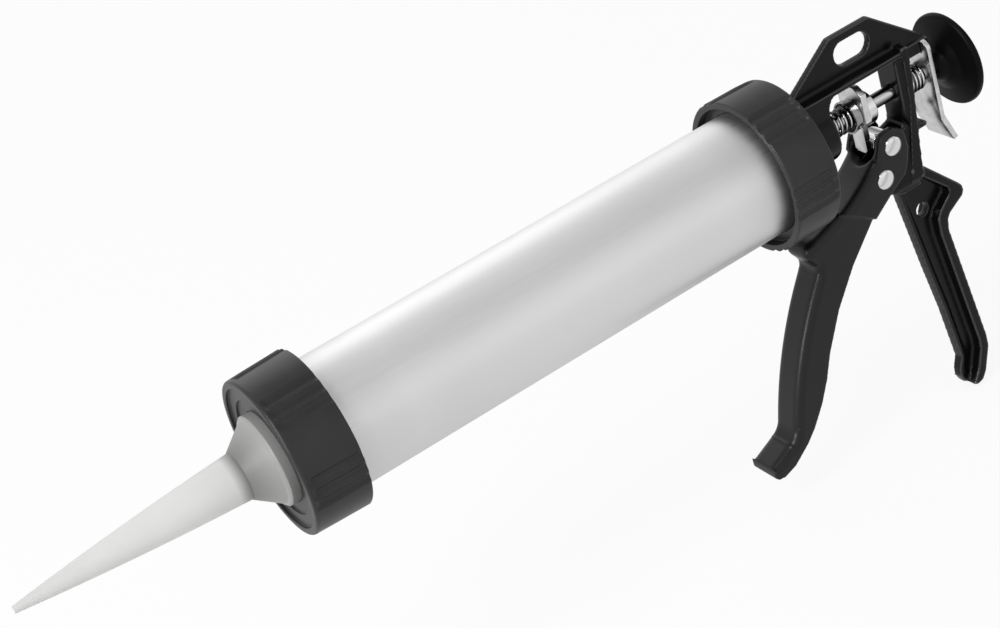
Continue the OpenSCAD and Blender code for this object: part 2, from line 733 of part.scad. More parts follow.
module release_plate() {
    w = release_w / 2;
    ear_top = 16.2;
    ear_round = 4;
    slot_w = hook_w + 2 * slide_gap;
    bend_z = -18;
    tab = 12.5;
    tab_run = tan(20) * tab;
    color("#cfd1d4") translate([frame_x, 0, 0]) difference() {
        union() {
            translate([release_x, 0, 0]) rotate([90, 0, 90]) linear_extrude(release_t)
                polygon(concat([[-w, bend_z], [w, bend_z]],
                    arc([w - ear_round, ear_top - ear_round], ear_round, 0, 90, 6),
                    arc([ear_round - w, ear_top - ear_round], ear_round, 90, 180, 6)));
            slab([[release_x, bend_z + 1], [release_x, bend_z - 1],
                [release_x + tab_run, bend_z - tab],
                [release_back + tab_run, bend_z - tab + 0.6],
                [release_back, bend_z + 0.4], [release_back, bend_z + 1]], release_w);
        }
        shaft(rod_r + 0.45, release_x - 1, release_back + 1, pin_fn);
        // Slot that hangs the plate on the frame's hook
        translate([release_x - 1, -slot_w / 2, hook_z - slide_gap])
            cube([release_t + 2, slot_w, 20]);
    }
}

module release_spring() {
    color("#c0c2c5") translate([frame_x, 0, 0])
        coil(rear_wall_out + lean(spring_d / 2) + 0.1, release_x - 0.1, release_turns);
}

// -------------------------------------------------------------------------

frame_casting();
barrel_tube();
rear_cap();
front_cap();
nozzle();
push_rod();
piston_cup();
piston_front_washer();
piston_rear_washer();
piston_nut();
piston_lock_nut();
pull_knob();
drive_plate();
drive_collar();
spring_seat();
drive_spring();
trigger();
pivot_rivet();
push_rivet();
drive_roller();
release_plate();
release_spring();
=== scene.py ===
# %% [markdown]
# # Dressing a caulking gun
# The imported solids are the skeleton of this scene: barrel, caps, nozzle, die-cast
# frame, trigger, rod and the small steel parts between them. Each step below takes
# one piece, says what it is on the real tool, and gives it the rounded edges and
# the finish that a plain solid lacks. Everything is in metres and in the solids'
# own frame: the nozzle's outlet is the origin and +X runs back to the pull knob.

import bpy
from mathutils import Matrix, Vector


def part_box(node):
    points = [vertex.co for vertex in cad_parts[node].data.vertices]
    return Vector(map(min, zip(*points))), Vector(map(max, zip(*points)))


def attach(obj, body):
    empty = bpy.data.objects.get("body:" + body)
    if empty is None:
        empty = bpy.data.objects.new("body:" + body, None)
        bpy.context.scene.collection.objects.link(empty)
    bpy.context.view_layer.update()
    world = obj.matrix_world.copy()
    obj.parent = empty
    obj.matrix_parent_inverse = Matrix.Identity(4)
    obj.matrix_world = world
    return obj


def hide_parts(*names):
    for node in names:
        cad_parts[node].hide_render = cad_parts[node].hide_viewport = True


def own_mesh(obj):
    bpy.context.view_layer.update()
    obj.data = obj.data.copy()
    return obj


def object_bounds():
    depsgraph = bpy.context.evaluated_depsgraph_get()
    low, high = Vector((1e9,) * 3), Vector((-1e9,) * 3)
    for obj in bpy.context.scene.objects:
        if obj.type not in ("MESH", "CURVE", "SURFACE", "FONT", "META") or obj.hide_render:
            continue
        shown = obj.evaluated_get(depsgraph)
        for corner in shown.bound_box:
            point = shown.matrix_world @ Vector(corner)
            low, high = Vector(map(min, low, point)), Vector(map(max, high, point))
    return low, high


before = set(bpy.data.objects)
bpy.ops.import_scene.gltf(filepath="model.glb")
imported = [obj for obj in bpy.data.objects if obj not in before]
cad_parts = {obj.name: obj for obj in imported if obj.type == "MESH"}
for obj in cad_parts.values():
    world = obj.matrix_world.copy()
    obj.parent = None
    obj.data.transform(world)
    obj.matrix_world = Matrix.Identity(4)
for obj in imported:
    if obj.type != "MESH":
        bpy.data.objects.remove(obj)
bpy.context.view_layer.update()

# %% [markdown]
# ## Sizes that more than one piece uses
# The stations along the barrel repeat the solids' own sizes, in millimetres. The
# solids' boxes are printed below them, so that the two can be compared whenever the
# part changes.

# %% Stations and radii
import math
import bmesh
import bpy
from mathutils import Matrix, Vector

MM = 0.001
FRAME_X = 343.6          # back of the rear cap, where the frame starts
FRONT_CAP_X = 102.5
FRONT_CAP_LEN = 23.4
REAR_CAP_X = 321.9
BARREL_R = 26.0
ROD_R = 3.15
THREAD_GAP = 0.1
RUN_GAP = 0.05


def box_mm(node):
    """Lowest and highest corners of a solid, in millimetres."""
    low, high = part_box(node)
    return [round(v / MM, 2) for v in low], [round(v / MM, 2) for v in high]


for name in sorted(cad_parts):
    low, high = box_mm(name)
    print(f"{name:20s} {low} {high}")

# %% [markdown]
# ## Camera
# A long lens looks down on the tool from its front left, rolled so that the barrel
# rises to the right. Location, view direction and roll are all the camera needs,
# so they are given as plain numbers and turned into one matrix.

# %% Camera
LENS = 78.18
CAMERA_AT = Vector((-0.067805, -0.646831, 0.399784))
LOOK = Vector((0.338693, 0.802136, -0.491797)).normalized()
ROLL = math.radians(-18.79)

level = LOOK.cross(Vector((0, 0, 1))).normalized()
right = Matrix.Rotation(-ROLL, 3, LOOK) @ level
up = right.cross(LOOK)
camera_data = bpy.data.cameras.new("studio_camera")
camera_data.lens = LENS
camera_data.sensor_width = 36.0
camera_data.clip_start = 0.01
camera = bpy.data.objects.new("studio_camera", camera_data)
camera.matrix_world = Matrix((
    (right.x, up.x, -LOOK.x, CAMERA_AT.x),
    (right.y, up.y, -LOOK.y, CAMERA_AT.y),
    (right.z, up.z, -LOOK.z, CAMERA_AT.z),
    (0, 0, 0, 1)))
bpy.context.scene.collection.objects.link(camera)
bpy.context.scene.camera = camera
print("camera right", [round(v, 4) for v in right], "up", [round(v, 4) for v in up])

# %% [markdown]
# ## Helpers for turned pieces
# Caps, nozzle, rod, knob, collar and washers are all turned about the barrel's
# axis. One outline of (radius, station) points is enough for each. Real edges are
# never knife-sharp, so a helper rounds the outline's corners first and adds a
# support point beside each round, which keeps the smooth shading of the flats flat.

# %% Rounded outlines and lathe


def rounded(points, radius, steps=4, closed=True):
    """The outline with every corner rounded; points are (r, x) or (r, x, own radius)."""
    out = []
    count = len(points)
    for i, point in enumerate(points):
        here = Vector(point[:2])
        want = point[2] if len(point) > 2 else radius
        ends = not closed and i in (0, count - 1)
        before = Vector(points[i - 1][:2]) - here
        after = Vector(points[(i + 1) % count][:2]) - here
        if ends or want <= 0 or before.length < 1e-6 or after.length < 1e-6:
            out.append(tuple(here))
            continue
        angle = before.angle(after)
        if angle > math.radians(176):
            out.append(tuple(here))
            continue
        room = 0.42 * min(before.length, after.length)
        cut = min(want / math.tan(angle / 2), room)
        a = here + before.normalized() * cut
        b = here + after.normalized() * cut
        pad_a = min(0.3, 0.1 * before.length)
        pad_b = min(0.3, 0.1 * after.length)
        out.append(tuple(a + before.normalized() * pad_a))
        for k in range(steps + 1):
            t = k / steps
            out.append(tuple((1 - t) ** 2 * a + 2 * t * (1 - t) * here + t * t * b))
        out.append(tuple(b + after.normalized() * pad_b))
    return out


def new_piece(name, mesh):
    """An object for a finished mesh, at the origin, unturned and unscaled."""
    piece = bpy.data.objects.new(name, mesh)
    bpy.context.scene.collection.objects.link(piece)
    return piece


def smooth(mesh, angle=40):
    """Smooth shading that stays sharp where faces meet at more than the angle."""
    work = bmesh.new()
    work.from_mesh(mesh)
    for face in work.faces:
        face.smooth = True
    for edge in work.edges:
        edge.smooth = edge.calc_face_angle(0) < math.radians(angle)
    work.to_mesh(mesh)
    work.free()


def turned(name, outline, segments=96, angle=40):
    """A closed solid of revolution about the X axis, from (radius, station) in mm."""
    work = bmesh.new()
    rings = []
    for k in range(segments):
        turn = 2 * math.pi * k / segments
        rings.append([work.verts.new((x * MM, -r * MM * math.sin(turn), r * MM * math.cos(turn)))
                      for r, x in outline])
    for k in range(segments):
        one, two = rings[k], rings[(k + 1) % segments]
        for i in range(len(outline)):
            j = (i + 1) % len(outline)
            work.faces.new((one[i], one[j], two[j], two[i]))
    bmesh.ops.remove_doubles(work, verts=work.verts, dist=1e-7)
    bmesh.ops.recalc_face_normals(work, faces=work.faces)
    mesh = bpy.data.meshes.new(name)
    work.to_mesh(mesh)
    work.free()
    smooth(mesh, angle)
    return new_piece(name, mesh)


print("lathe helpers ready")

# %% [markdown]
# ## Helpers for cast and pressed pieces
# Frame, trigger and plates have outlines that the solids already hold, so each of
# them starts from a copy of its solid's mesh, with the loose triangles merged.
# Modifiers then change the copy and are applied by reading the evaluated mesh back.

# %% Copy and apply


def copied(node, name):
    """A working mesh with a solid's triangles, their shared corners merged."""
    work = bmesh.new()
    work.from_mesh(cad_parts[node].data)
    bmesh.ops.remove_doubles(work, verts=work.verts, dist=2e-6)
    return work, bpy.data.meshes.new(name)


def applied(rough, name):
    """The evaluated mesh of an object as a new plain piece; the object is removed."""
    ready = bpy.data.meshes.new_from_object(
        rough.evaluated_get(bpy.context.evaluated_depsgraph_get()))
    bpy.data.objects.remove(rough)
    ready.name = name
    print(name, "faces", len(ready.polygons))
    return new_piece(name, ready)


# %% [markdown]
# A stamped plate keeps its flat faces. Its facets are joined into whole faces, and
# a narrow bevel breaks every sharp edge, as tumbling does on the real parts.

# %% Dressed copies of solids


def dressed(node, name, width, segments, sharp=32):
    """A copy with a bevel, width in mm, on edges sharper than an angle in degrees."""
    work, mesh = copied(node, name)
    bmesh.ops.dissolve_limit(work, angle_limit=math.radians(0.1), verts=work.verts,
                             edges=work.edges)
    for face in work.faces:
        face.smooth = True
    work.to_mesh(mesh)
    work.free()
    rough = new_piece(name + "_rough", mesh)
    bevel = rough.modifiers.new("broken_edges", "BEVEL")
    bevel.width = width * MM
    bevel.segments = segments
    bevel.limit_method = "ANGLE"
    bevel.angle_limit = math.radians(sharp)
    bevel.harden_normals = True
    bevel.use_clamp_overlap = True
    return applied(rough, name)


# %% [markdown]
# A casting, and a lever under thick paint, are round at every edge. Where three
# walls meet, a bevel would fold over itself. So these copies are rebuilt from
# small voxels and relaxed: the voxel sets the finest detail that stays, and the
# number of rounds sets how wide the edges come out. Half a millimetre is fine
# enough here, and keeps each piece under 200,000 triangles.

# %% Softened copies of solids


def softened(node, name, voxel, rounds):
    """A copy rebuilt from voxels, size in mm, and relaxed, so that its edges are round."""
    work, mesh = copied(node, name)
    work.to_mesh(mesh)
    work.free()
    rough = new_piece(name + "_rough", mesh)
    cells = rough.modifiers.new("cells", "REMESH")
    cells.mode = "VOXEL"
    cells.voxel_size = voxel * MM
    cells.use_smooth_shade = True
    relax = rough.modifiers.new("relax", "SMOOTH")
    relax.factor = 0.5
    relax.iterations = rounds
    return applied(rough, name)


# %% [markdown]
# Every piece made here takes a solid's place. One helper does what they all need:
# the finish, the body to ride on, the material slot and the solid to hide.

# %% Taking a solid's place


def stands_for(piece, node, body, finish):
    """Gives a piece its finish and its body, and hides the solid that it stands for."""
    piece.data.materials.clear()
    piece.data.materials.append(finish)
    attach(piece, body)
    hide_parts(node)
    print(piece.name, "stands for", node, "on", body)


# %% [markdown]
# ## Finishes
# Three small node groups make what the finishes share. `mottle` is a slow change
# of tone, as in moulded plastic and in paint over a casting. `grain` is a fine
# bump. `drawn_lines` is the fine scratching that drawing and polishing leave along
# or around a metal part. Each finish places them with its own values.

# %% An empty node group


def group_with(name, inputs, outputs):
    """An empty shader group with named sockets."""
    group = bpy.data.node_groups.new(name, "ShaderNodeTree")
    for label, kind, value in inputs:
        socket = group.interface.new_socket(label, in_out="INPUT", socket_type=kind)
        if value is not None:
            socket.default_value = value
    for label, kind in outputs:
        group.interface.new_socket(label, in_out="OUTPUT", socket_type=kind)
    return group, group.nodes.new("NodeGroupInput"), group.nodes.new("NodeGroupOutput")


# %% Mottle
mottle, m_in, m_out = group_with(
    "mottle",
    [("Vector", "NodeSocketVector", None), ("Scale", "NodeSocketFloat", 40.0),
     ("Low colour", "NodeSocketColor", None), ("High colour", "NodeSocketColor", None)],
    [("Colour", "NodeSocketColor"), ("Value", "NodeSocketFloat")])
noise = mottle.nodes.new("ShaderNodeTexNoise")
noise.inputs["Detail"].default_value = 3.0
ramp = mottle.nodes.new("ShaderNodeMapRange")
ramp.inputs["From Min"].default_value = 0.3
ramp.inputs["From Max"].default_value = 0.7
blend = mottle.nodes.new("ShaderNodeMix")
blend.data_type = "RGBA"
mottle.links.new(m_in.outputs["Vector"], noise.inputs["Vector"])
mottle.links.new(m_in.outputs["Scale"], noise.inputs["Scale"])
mottle.links.new(noise.outputs["Fac"], ramp.inputs["Value"])
mottle.links.new(ramp.outputs["Result"], blend.inputs["Factor"])
mottle.links.new(m_in.outputs["Low colour"], blend.inputs["A"])
mottle.links.new(m_in.outputs["High colour"], blend.inputs["B"])
mottle.links.new(blend.outputs["Result"], m_out.inputs["Colour"])
mottle.links.new(ramp.outputs["Result"], m_out.inputs["Value"])

# %% Grain
grain, g_in, g_out = group_with(
    "grain",
    [("Vector", "NodeSocketVector", None), ("Scale", "NodeSocketFloat", 900.0),
     ("Coarse scale", "NodeSocketFloat", 120.0), ("Coarse share", "NodeSocketFloat", 0.4)],
    [("Height", "NodeSocketFloat")])
fine = grain.nodes.new("ShaderNodeTexNoise")
coarse = grain.nodes.new("ShaderNodeTexNoise")
mixer = grain.nodes.new("ShaderNodeMix")
grain.links.new(g_in.outputs["Vector"], fine.inputs["Vector"])
grain.links.new(g_in.outputs["Vector"], coarse.inputs["Vector"])
grain.links.new(g_in.outputs["Scale"], fine.inputs["Scale"])
grain.links.new(g_in.outputs["Coarse scale"], coarse.inputs["Scale"])
grain.links.new(g_in.outputs["Coarse share"], mixer.inputs["Factor"])
grain.links.new(fine.outputs["Fac"], mixer.inputs["A"])
grain.links.new(coarse.outputs["Fac"], mixer.inputs["B"])
grain.links.new(mixer.outputs["Result"], g_out.inputs["Height"])

# %% Drawn lines
drawn_lines, d_in, d_out = group_with(
    "drawn_lines",
    [("Vector", "NodeSocketVector", None), ("Stretch", "NodeSocketVector", (1.0, 30.0, 30.0)),
     ("Scale", "NodeSocketFloat", 60.0)],
    [("Height", "NodeSocketFloat"), ("Value", "NodeSocketFloat")])
stretch = drawn_lines.nodes.new("ShaderNodeVectorMath")
stretch.operation = "MULTIPLY"
lines = drawn_lines.nodes.new("ShaderNodeTexNoise")
lines.inputs["Detail"].default_value = 4.0
soft = drawn_lines.nodes.new("ShaderNodeMapRange")
soft.inputs["From Min"].default_value = 0.35
soft.inputs["From Max"].default_value = 0.65
drawn_lines.links.new(d_in.outputs["Vector"], stretch.inputs[0])
drawn_lines.links.new(d_in.outputs["Stretch"], stretch.inputs[1])
drawn_lines.links.new(stretch.outputs["Vector"], lines.inputs["Vector"])
drawn_lines.links.new(d_in.outputs["Scale"], lines.inputs["Scale"])
drawn_lines.links.new(lines.outputs["Fac"], soft.inputs["Value"])
drawn_lines.links.new(lines.outputs["Fac"], d_out.inputs["Height"])
drawn_lines.links.new(soft.outputs["Result"], d_out.inputs["Value"])
print("groups:", mottle.name, grain.name, drawn_lines.name)

# %% [markdown]
# Some finishes need a tone that changes along a line as well. A colour ramp in
# plain greys holds it, and multiplies whatever colour is there already.

# %% Grey ramps


def grey(value, tint=(1.0, 1.0, 1.0)):
    """A linear colour from one level and a slight tint."""
    return (value * tint[0], value * tint[1], value * tint[2], 1.0)


def grey_ramp(tree, factor, stops):
    """A ramp of greys over a factor from 0 to 1; stops are (place, level)."""
    ramp = tree.nodes.new("ShaderNodeValToRGB")
    for place, value in stops[2:]:
        ramp.color_ramp.elements.new(place)
    for stop, (place, value) in zip(ramp.color_ramp.elements, stops):
        stop.position = place
        stop.color = grey(value)
    tree.links.new(factor, ramp.inputs[0])
    return ramp.outputs["Color"]


def times_ramp(tree, socket, factor, stops):
    """Multiplies what feeds a colour socket by a grey ramp of a factor from 0 to 1."""
    shade = grey_ramp(tree, factor, stops)
    blend = tree.nodes.new("ShaderNodeMix")
    blend.data_type = "RGBA"
    blend.blend_type = "MULTIPLY"
    blend.inputs["Factor"].default_value = 1.0
    tree.links.new(socket.links[0].from_socket, blend.inputs["A"])
    tree.links.new(shade, blend.inputs["B"])
    tree.links.new(blend.outputs["Result"], socket)


def shade_along(material, first, last, stops):
    """Paints shade into a finish along the barrel's axis, between two stations in mm."""
    tree = material.node_tree
    split = tree.nodes.new("ShaderNodeSeparateXYZ")
    tree.links.new(tree.nodes.new("ShaderNodeTexCoord").outputs["Object"], split.inputs[0])
    share = tree.nodes.new("ShaderNodeMapRange")
    share.inputs["From Min"].default_value = first * MM
    share.inputs["From Max"].default_value = last * MM
    tree.links.new(split.outputs[0], share.inputs["Value"])
    times_ramp(tree, tree.nodes["Principled BSDF"].inputs["Base Color"],
               share.outputs["Result"], stops)


# %% [markdown]
# The outer edges get a painted highlight: their colour is lifted, and their shine
# too. Pointiness tells how convex the mesh is at a point, 0.5 where it is flat, so
# a narrow range just above that picks the edges out. It needs a dense mesh, which
# the softened copies have. The painted highlight stays in an exported model; the
# lift in shine doesn't, because an export drops a specular level that is linked.

# %% Painted edge highlights
EDGE_STARTS, EDGE_FULL = 0.516, 0.56


def painted_edge_highlights(material, level, shine):
    """Paints a highlight and lifts the shine along the convex edges of a painted piece."""
    tree = material.node_tree
    surface = tree.nodes["Principled BSDF"]
    edge = tree.nodes.new("ShaderNodeMapRange")
    edge.inputs["From Min"].default_value = EDGE_STARTS
    edge.inputs["From Max"].default_value = EDGE_FULL
    tree.links.new(tree.nodes.new("ShaderNodeNewGeometry").outputs["Pointiness"],
                   edge.inputs["Value"])
    blend = tree.nodes.new("ShaderNodeMix")
    blend.data_type = "RGBA"
    tree.links.new(edge.outputs["Result"], blend.inputs["Factor"])
    tree.links.new(surface.inputs["Base Color"].links[0].from_socket, blend.inputs["A"])
    blend.inputs["B"].default_value = grey(level)
    tree.links.new(blend.outputs["Result"], surface.inputs["Base Color"])
    edge_shine = tree.nodes.new("ShaderNodeMapRange")
    edge_shine.inputs["To Min"].default_value = surface.inputs["Specular IOR Level"].default_value
    edge_shine.inputs["To Max"].default_value = shine
    tree.links.new(edge.outputs["Result"], edge_shine.inputs["Value"])
    tree.links.new(edge_shine.outputs["Result"], surface.inputs["Specular IOR Level"])


# %% [markdown]
# Every finish follows one recipe: a tone that drifts between two close colours, a
# roughness that drifts with it, and a bump of its own scale. Drawn metal takes
# `drawn_lines` instead of `grain`. Polished metal may take `facing`, a ramp from
# faces seen head on, at 0, to faces seen edge on, at 1. It stands in for the dark
# and bright parts of a room that small round pieces mirror as bands. That is a
# shortcut: it turns with the view, and a baked model can't hold it. So it is one
# argument, and leaving it out gives the plain metal.

# %% Recipe for a finish


def finish(name, low, high, tone_scale, rough, bump, bump_scale, metal=0.0,
           stretch=None, facing=None, **shader):
    """A finish with drifting tone, drifting roughness and a bump of grain or lines."""
    material = bpy.data.materials.new(name)
    material.use_nodes = True
    tree = material.node_tree
    surface = tree.nodes["Principled BSDF"]
    where = tree.nodes.new("ShaderNodeTexCoord").outputs["Object"]
    tone = tree.nodes.new("ShaderNodeGroup")
    tone.node_tree = mottle
    tone.inputs["Scale"].default_value = tone_scale
    tone.inputs["Low colour"].default_value = low
    tone.inputs["High colour"].default_value = high
    tree.links.new(where, tone.inputs["Vector"])
    tree.links.new(tone.outputs["Colour"], surface.inputs["Base Color"])
    texture = tree.nodes.new("ShaderNodeGroup")
    texture.node_tree = drawn_lines if stretch else grain
    texture.inputs["Scale"].default_value = bump_scale
    if stretch:
        texture.inputs["Stretch"].default_value = stretch
    tree.links.new(where, texture.inputs["Vector"])
    level = tree.nodes.new("ShaderNodeMapRange")
    level.inputs["To Min"].default_value = rough[0]
    level.inputs["To Max"].default_value = rough[1]
    tree.links.new(texture.outputs["Value"] if stretch else tone.outputs["Value"],
                   level.inputs["Value"])
    tree.links.new(level.outputs["Result"], surface.inputs["Roughness"])
    relief = tree.nodes.new("ShaderNodeBump")
    relief.inputs["Strength"].default_value = bump[0]
    relief.inputs["Distance"].default_value = bump[1] * MM
    tree.links.new(texture.outputs["Height"], relief.inputs["Height"])
    tree.links.new(relief.outputs["Normal"], surface.inputs["Normal"])
    surface.inputs["Metallic"].default_value = metal
    if facing:
        weight = tree.nodes.new("ShaderNodeLayerWeight")
        tree.links.new(relief.outputs["Normal"], weight.inputs["Normal"])
        times_ramp(tree, surface.inputs["Base Color"], weight.outputs["Facing"], facing)
    for socket, value in shader.items():
        surface.inputs[socket.replace("_", " ")].default_value = value
    return material


# %% [markdown]
# The table of finishes. Levels are linear, so black paint is a few thousandths and
# bright metal is around 0.8. Each finish gives its two tones, the scale of their
# drift, the span of its roughness, the bump's strength and depth in mm, and the
# bump's scale.

# %% Plastics and paints
cap_finish = finish("cap_plastic", grey(0.016), grey(0.024), 60, (0.32, 0.40),
                    (0.12, 0.04), 1400, Specular_IOR_Level=0.36)
casting_finish = finish("casting_paint", grey(0.002), grey(0.004), 35, (0.22, 0.28),
                        (0.06, 0.05), 500, Specular_IOR_Level=0.22)
trigger_finish = finish("trigger_paint", grey(0.004), grey(0.006), 30, (0.30, 0.36),
                        (0.06, 0.04), 700, Specular_IOR_Level=0.36)
knob_finish = finish("knob_plastic", grey(0.0016), grey(0.003), 50, (0.34, 0.42),
                     (0.10, 0.04), 1200, Specular_IOR_Level=0.09)
piston_finish = finish("piston_plastic", grey(0.05), grey(0.07), 60, (0.40, 0.50),
                       (0.12, 0.04), 900)
NATURAL = (1.0, 1.0, 0.985)
nozzle_finish = finish("natural_plastic", grey(0.70, NATURAL), grey(0.76, NATURAL), 24,
                       (0.36, 0.44), (0.08, 0.04), 500, Specular_IOR_Level=0.35)
# Painted highlights: a lighter colour and more shine along the edges of the casting and the
# trigger.
painted_edge_highlights(casting_finish, 0.06, 0.7)
painted_edge_highlights(trigger_finish, 0.014, 0.46)

# %% Metals
barrel_finish = finish("satin_aluminium", grey(0.80), grey(0.84), 14, (0.42, 0.48),
                       (0.10, 0.02), 40, metal=1.0, stretch=(1.0, 26.0, 26.0))
chrome_finish = finish("bright_chrome", grey(0.86), grey(0.92), 60, (0.10, 0.16),
                       (0.10, 0.02), 80, metal=1.0, stretch=(14.0, 1.0, 1.0),
                       facing=((0, 1), (0.30, 0.9), (0.42, 0.25), (0.55, 0.2), (0.72, 0.9)))
rivet_finish = finish("rivet_chrome", grey(0.84), grey(0.90), 400, (0.12, 0.20),
                      (0.10, 0.02), 900, metal=1.0,
                      facing=((0, 1), (0.13, 1), (0.20, 0.7), (0.28, 0.95), (0.44, 1),
                              (0.60, 0.15), (0.84, 1)))
rod_finish = finish("drawn_rod", grey(0.82), grey(0.88), 60, (0.14, 0.22),
                    (0.10, 0.02), 60, metal=1.0, stretch=(1.0, 30.0, 30.0),
                    facing=((0, 1), (0.16, 0.8), (0.34, 0.08), (0.62, 0.10), (0.80, 0.8)))
wire_finish = finish("spring_wire", grey(0.72), grey(0.84), 120, (0.14, 0.22),
                     (0.10, 0.02), 500, metal=1.0,
                     facing=((0, 1), (0.12, 1), (0.30, 0.10), (0.62, 0.05), (0.85, 0.6)))
zinc_finish = finish("zinc_plate", grey(0.62), grey(0.84), 260, (0.22, 0.34),
                     (0.25, 0.05), 1100, metal=1.0)
seat_finish = finish("dark_plate", grey(0.30), grey(0.40), 120, (0.16, 0.26),
                     (0.10, 0.02), 500, metal=1.0)

# %% [markdown]
# Two pieces have painted shade along their length. The barrel is painted a little
# darker where a cap shades it. The nozzle is thick at its flared base and painted
# dark there, where the dark cap shows through its plastic; its thinner cone is
# painted paler to the tip, where light comes through.

# %% Shade along the axis
shade_along(barrel_finish, FRONT_CAP_X + FRONT_CAP_LEN, REAR_CAP_X,
            ((0, 0.86), (0.05, 0.95), (0.14, 1), (0.88, 1), (0.96, 0.95), (1, 0.86)))
shade_along(nozzle_finish, 0, 107,
            ((0, 0.86), (0.4, 0.94), (0.80, 0.92), (0.845, 0.24), (0.93, 0.42), (1, 0.30)))
print("finishes:", len(bpy.data.materials))

# %% [markdown]
# ## Barrel
# A drawn aluminium tube with a satin finish. It is a plain tube with its two ends
# hidden in the caps, so it is turned with small rounds at the ends.

# %% Barrel
BARREL_BORE = 24.8
low, high = box_mm("barrel_tube")
barrel = turned("barrel_shell", rounded(
    [(BARREL_BORE, low[0]), (BARREL_R, low[0]), (BARREL_R, high[0]),
     (BARREL_BORE, high[0])], 0.3), 192)
stands_for(barrel, "barrel_tube", "barrel", barrel_finish)

# %% [markdown]
# ## Screw caps
# Both caps are moulded with six smooth panels and three finger flutes between each
# two. A flute is the hollow that a round bar would press into the skin, so one
# rule gives the whole cap: a point's radius is the smaller of the cap's own and
# the bar's. Geometry Nodes apply that rule to a finely turned cap, which gives
# soft lands between the flutes and pointed ends where the flutes run out.

# %% Math nodes with short names


class Maker:
    """Short names for the math nodes of one tree."""

    def __init__(self, tree):
        self.tree = tree

    def __call__(self, operation, *values):
        node = self.tree.nodes.new("ShaderNodeMath")
        node.operation = operation
        for socket, value in zip(node.inputs, values):
            if isinstance(value, (int, float)):
                socket.default_value = value
            else:
                self.tree.links.new(value, socket)
        return node.outputs[0]


# %% [markdown]
# Every Geometry Nodes tree here starts and ends alike: named inputs at the start,
# and at the end the instances made real and the material set, so that what comes
# out is one plain mesh in its own finish.

# %% Start and end of a tree


def new_tree(name, inputs):
    """An empty tree with named inputs and one geometry output."""
    tree = bpy.data.node_groups.new(name, "GeometryNodeTree")
    for label, kind in inputs:
        tree.interface.new_socket(label, in_out="INPUT", socket_type=kind)
    tree.interface.new_socket("Geometry", in_out="OUTPUT", socket_type="NodeSocketGeometry")
    return tree, tree.nodes.new("NodeGroupInput").outputs


def hand_out(tree, geometry, material):
    """Ends a tree: instances made real, material set, geometry put out."""
    real = tree.nodes.new("GeometryNodeRealizeInstances")
    paint = tree.nodes.new("GeometryNodeSetMaterial")
    give = tree.nodes.new("NodeGroupOutput")
    tree.links.new(geometry, real.inputs[0])
    tree.links.new(real.outputs[0], paint.inputs["Geometry"])
    tree.links.new(material, paint.inputs["Material"])
    tree.links.new(paint.outputs[0], give.inputs[0])


# %% Flute rule as a Geometry Nodes tree
FLUTE_INPUTS = [
    ("Geometry", "NodeSocketGeometry"), ("Panels", "NodeSocketFloat"),
    ("Flutes", "NodeSocketFloat"), ("Pitch", "NodeSocketFloat"), ("Turn", "NodeSocketFloat"),
    ("Bar radius", "NodeSocketFloat"), ("Bar lift", "NodeSocketFloat"),
    ("First station", "NodeSocketFloat"), ("Last station", "NodeSocketFloat"),
    ("First radius", "NodeSocketFloat"), ("Last radius", "NodeSocketFloat"),
    ("Material", "NodeSocketMaterial")]


def flute_tree():
    """The tree that presses the flutes; sizes are in metres and angles in radians."""
    tree, take = new_tree("cap_flutes", FLUTE_INPUTS)
    calc = Maker(tree)
    split = tree.nodes.new("ShaderNodeSeparateXYZ")
    tree.links.new(tree.nodes.new("GeometryNodeInputPosition").outputs[0], split.inputs[0])
    x, y, z = split.outputs
    radius = calc("SQRT", calc("ADD", calc("MULTIPLY", y, y), calc("MULTIPLY", z, z)))
    angle = calc("ARCTAN2", calc("MULTIPLY", y, -1.0), z)
    # Angle from the middle of the nearest group, then from its nearest flute
    step = calc("DIVIDE", 2 * math.pi, take["Panels"])
    local = calc("WRAP", calc("SUBTRACT", angle, take["Turn"]),
                 calc("MULTIPLY", step, 0.5), calc("MULTIPLY", step, -0.5))
    last = calc("SUBTRACT", take["Flutes"], 1.0)
    number = calc("FLOOR", calc("ADD", calc("DIVIDE", local, take["Pitch"]),
                                calc("MULTIPLY", take["Flutes"], 0.5)))
    number = calc("MINIMUM", calc("MAXIMUM", number, 0.0), last)
    middle = calc("MULTIPLY", calc("SUBTRACT", number, calc("MULTIPLY", last, 0.5)),
                  take["Pitch"])
    across = calc("MULTIPLY", radius, calc("SINE", calc("SUBTRACT", local, middle)))
    # How far the point lies beyond either end of the bar
    beyond = calc("MAXIMUM", calc("SUBTRACT", take["First station"], x),
                  calc("SUBTRACT", x, take["Last station"]))
    beyond = calc("MAXIMUM", beyond, 0.0)
    under = calc("SUBTRACT", calc("MULTIPLY", take["Bar radius"], take["Bar radius"]),
                 calc("ADD", calc("MULTIPLY", across, across),
                      calc("MULTIPLY", beyond, beyond)))
    sink = calc("SQRT", calc("MAXIMUM", under, 0.0))
    share = calc("DIVIDE", calc("SUBTRACT", x, take["First station"]),
                 calc("SUBTRACT", take["Last station"], take["First station"]))
    skin = calc("ADD", take["First radius"],
                calc("MULTIPLY", share, calc("SUBTRACT", take["Last radius"],
                                             take["First radius"])))
    pressed = calc("SUBTRACT", calc("ADD", skin, take["Bar lift"]), sink)
    ratio = calc("DIVIDE", calc("MINIMUM", radius, pressed), radius)
    join = tree.nodes.new("ShaderNodeCombineXYZ")
    tree.links.new(x, join.inputs[0])
    tree.links.new(calc("MULTIPLY", y, ratio), join.inputs[1])
    tree.links.new(calc("MULTIPLY", z, ratio), join.inputs[2])
    move = tree.nodes.new("GeometryNodeSetPosition")
    tree.links.new(take["Geometry"], move.inputs["Geometry"])
    tree.links.new(join.outputs[0], move.inputs["Position"])
    hand_out(tree, move.outputs[0], take["Material"])
    return tree


press_flutes = flute_tree()
print("tree nodes:", len(press_flutes.nodes))

